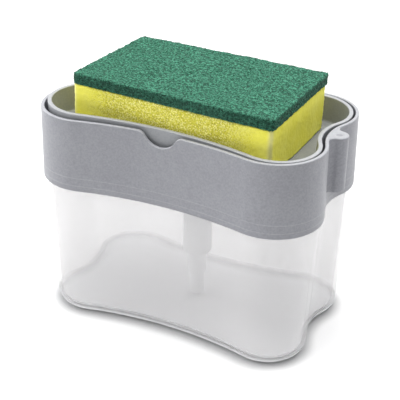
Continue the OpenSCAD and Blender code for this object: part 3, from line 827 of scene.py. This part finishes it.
def block(name, corners, low, high, voxel):
    """A soft block on four corner points, remeshed into fine even faces with softened edges."""
    bm = bmesh.new()
    face = bm.faces.new([bm.verts.new((*corner, low)) for corner in corners])
    top = bmesh.ops.extrude_face_region(bm, geom=[face])["geom"]
    lifted = [item for item in top if isinstance(item, bmesh.types.BMVert)]
    bmesh.ops.translate(bm, vec=(0, 0, high - low), verts=lifted)
    upright = []
    for edge in bm.edges:
        if abs(edge.verts[0].co.z - edge.verts[1].co.z) > SPONGE_CORNER:
            upright.append(edge)
    bmesh.ops.bevel(
        bm, geom=upright, offset=SPONGE_CORNER, offset_type="OFFSET",
        affect="EDGES", segments=4, profile=0.5, material=-1,
    )
    bmesh.ops.recalc_face_normals(bm, faces=bm.faces)
    mesh = bpy.data.meshes.new(name)
    bm.to_mesh(mesh)
    bm.free()
    made = placed(name, mesh)
    remesh = made.modifiers.new("even", "REMESH")
    remesh.mode = "VOXEL"
    remesh.voxel_size = voxel
    return evaluated(made)


def sponge_corners(over=0.0):
    """Corner points of the sponge's plan as it lies, its back left corner cut short."""
    x, y = FOAM_SIZE.x / 2 + over, FOAM_SIZE.y / 2 + over
    turn = Matrix.Rotation(SPONGE_TURN, 2)
    cut = Vector((SPONGE_CUT.x - x, y - SPONGE_CUT.y))
    corners = [Vector((-x, -y)), Vector((x, -y)), Vector((x, y)), cut]
    return [turn @ corner + SPONGE_PLACE for corner in corners]


def foam(finish):
    """The foam: a cut block whose skin is all pores, with slightly ragged edges."""
    low = TRAY_RIM - TRAY_DEPTH + FIT
    corners = sponge_corners()
    corners[0].x -= FOAM_SPREAD
    bm = block("foam", corners, low, low + FOAM_SIZE.z, FOAM_VOXEL)
    painted_light_at_edges = bm.verts.layers.float.new("painted_light_at_edges")
    bm.normal_update()
    for vert in bm.verts:
        # How near a point is to an upright corner, for a painted highlight there.
        near = min((vert.co.xy - corner).length for corner in corners)
        vert[painted_light_at_edges] = max(0.0, 1 - near / HIGHLIGHT_REACH)
        pore = noise.voronoi(vert.co / PORE_SIZE)[0][0]
        swell = noise.noise(vert.co / SWELL_SIZE)
        vert.co += vert.normal * (PORE_DEPTH * (0.5 - pore) + SWELL_DEPTH * swell)
    as_it_lies(bm)
    made = piece(bm, "foam_block", "sponge", finish, ["sponge_foam"], 180)


def loose_strands(mat):
    """Bowed strands rooted all over the pad's mat, except under it, as a bmesh."""
    mat.normal_update()
    mat.verts.ensure_lookup_table()
    picks = random.Random(STRAND_SEED)
    curve = bpy.data.curves.new("pad_strands", "CURVE")
    curve.dimensions = "3D"
    curve.bevel_depth = STRAND_RADIUS
    curve.bevel_resolution = 0
    for _ in range(STRAND_COUNT):
        root = mat.verts[picks.randrange(len(mat.verts))]
        if root.normal.z < STRAND_LOWEST:
            continue
        aside = root.normal.orthogonal().normalized()
        aside.rotate(Matrix.Rotation(picks.uniform(0, 2 * math.pi), 3, root.normal))
        across = root.normal.cross(aside)
        length = picks.uniform(*STRAND_LENGTHS_MM) * MM
        bow = picks.uniform(-STRAND_BOW, STRAND_BOW) * length
        spline = curve.splines.new("POLY")
        spline.points.add(2)
        for index, point in enumerate(spline.points):
            share = index / 2
            rise = 4 * share * (1 - share)
            place = root.co + aside * length * (share - 0.5) + across * bow * rise
            place += root.normal * (STRAND_RISE * rise - STRAND_ROOT)
            point.co = (*place, 1)
    return evaluated(placed("strands", curve))


def scouring_pad(finish, strand_finish):
    """The scouring pad: a matted slab with a ragged edge, and loose strands all over it."""
    low = TRAY_RIM - TRAY_DEPTH + FIT + FOAM_SIZE.z
    high = low + PAD_THICKNESS - PAD_NAP
    bm = block("pad", sponge_corners(PAD_OVER), low + PAD_LIFT, high, PAD_VOXEL)
    bm.normal_update()
    painted_light_at_edges = bm.verts.layers.float.new("painted_light_at_edges")
    for vert in bm.verts:
        side = 1 - abs(vert.normal.z)
        # How far a point faces sideways, for painted shade on the pad's sides.
        vert[painted_light_at_edges] = side
        clump = noise.fractal(vert.co / CLUMP_SIZE, *CLUMP_OCTAVES)
        wander = noise.noise(vert.co / WANDER_SIZE) * (WANDER_ON_TOP + side)
        vert.co += vert.normal * (CLUMP_DEPTH * clump + WANDER_DEPTH * wander)
    as_it_lies(bm)
    strands = loose_strands(bm)
    made = piece(bm, "scouring_mat", "sponge", finish, ["scouring_pad"], 180)
    piece(strands, "pad_strands", "sponge", strand_finish)


def coil_spring(finish):
    """The return spring, which on the real pump shortens towards its seat when pressed; here it
    stands as the CAD part gives it, in a mesh of its own.
    """
    bm = bmesh.new()
    bm.from_mesh(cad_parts["return_spring"].data)
    made = piece(bm, "coil_spring", "lid", finish, ["return_spring"], 60)
    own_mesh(made)


def dress_cad(node, finish):
    """A carried-over CAD node takes a finish."""
    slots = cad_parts[node].data.materials
    slots.clear()
    slots.append(finish)


def backdrop():
    """A white floor that keeps the object's shadow from the lamps, with a painted shadow added
    where they meet, and whose far parts look white at any angle."""
    bm = bmesh.new()
    bmesh.ops.create_circle(bm, cap_ends=True, radius=FLOOR_RADIUS, segments=64)
    mesh = bpy.data.meshes.new("floor")
    bm.to_mesh(mesh)
    bm.free()
    made, wire = material(
        "white_floor", Roughness=0.9, Specular_IOR_Level=0.0, Emission_Color=(1, 1, 1, 1)
    )
    seen = wire.seen()
    reach = {"Distance": PAINTED_SHADOW_REACH}
    # Ambient occlusion paints a darker shadow where the object meets the floor.
    near = wire.node("ShaderNodeAmbientOcclusion", {"samples": 8}, reach, "AO")
    shade = wire.blend(near.step(0.4, 1.0), FLOOR_PAINTED_SHADOW, FLOOR_SEEN)
    away = wire.node("ShaderNodeVectorMath", {"operation": "LENGTH"}, {0: wire.place()}, "Value")
    feed(
        made,
        Base_Color=wire.blend(seen, FLOOR_WHITE, shade),
        Emission_Strength=seen * (FLOOR_GLOW + away.step(*FLOOR_FADE)),
    )
    mesh.materials.append(made)
    floor = placed("floor", mesh)


def studio():
    """A big soft box overhead, one from the left, weak ones round it, and a white room that
    shows fully but lights little."""
    world = bpy.data.worlds.new("room")
    bpy.context.scene.world = world
    world.use_nodes = True
    background = world.node_tree.nodes["Background"]
    background.inputs["Color"].default_value = (1, 1, 1, 1)
    level = ROOM_LIGHT + Wire(world.node_tree).seen() * (1 - ROOM_LIGHT)
    world.node_tree.links.new(level.socket, background.inputs["Strength"])
    for name, place, size, power in LAMPS:
        lamp = bpy.data.lights.new(name, "AREA")
        lamp.shape = "SQUARE"
        lamp.size = size
        lamp.energy = power
        made = placed(name, lamp)
        made.location = place
        made.rotation_euler = (LAMP_AIM - Vector(place)).to_track_quat("-Z", "Y").to_euler()


def camera():
    """The photograph's camera."""
    a, e = CAMERA_AZIMUTH, CAMERA_ELEVATION
    back = Vector((math.sin(a) * math.cos(e), -math.cos(a) * math.cos(e), math.sin(e)))
    right = Vector((math.cos(a), math.sin(a), 0))
    up = back.cross(right)
    turn = Matrix((right, up, back)).transposed() @ Matrix.Rotation(CAMERA_ROLL, 3, "Z")
    lens = bpy.data.cameras.new("photo")
    lens.sensor_width = CAMERA_SENSOR
    lens.lens = CAMERA_LENS
    made = placed("photo", lens)
    made.matrix_world = Matrix.Translation(CAMERA_TARGET + back * CAMERA_DISTANCE) @ turn.to_4x4()
    bpy.context.scene.camera = made


camera()
backdrop()
studio()
bpy.context.scene.view_settings.view_transform = "Standard"

grey = moulded_plastic("collar_grey", COLLAR_GREYS, 0.42)
tray_grey = moulded_plastic("tray_grey", TRAY_GREYS, 0.45)
white = moulded_plastic("pump_white", PUMP_WHITES, 0.35)
tank(clouded_plastic())
collar(grey)
end_post(grey)
tray(tray_grey)
tray_ribs(tray_grey)
foam(open_foam())
scouring_pad(fibre_mat("fibre_mat", MAT_GREENS), fibre_mat("fibre_strands", STRAND_GREENS))
for node in (
    "pump_housing", "pump_nut", "stem_guide", "pump_stem",
    "outlet_nozzle", "piston_rod", "ball_cage", "dip_tube",
):
    dress_cad(node, white)
rubber = soft_rubber()
dress_cad("housing_gasket", rubber)
dress_cad("pump_piston", rubber)
coil_spring(steel("spring_steel", 0.25))
dress_cad("inlet_ball", steel("ball_steel", 0.12))
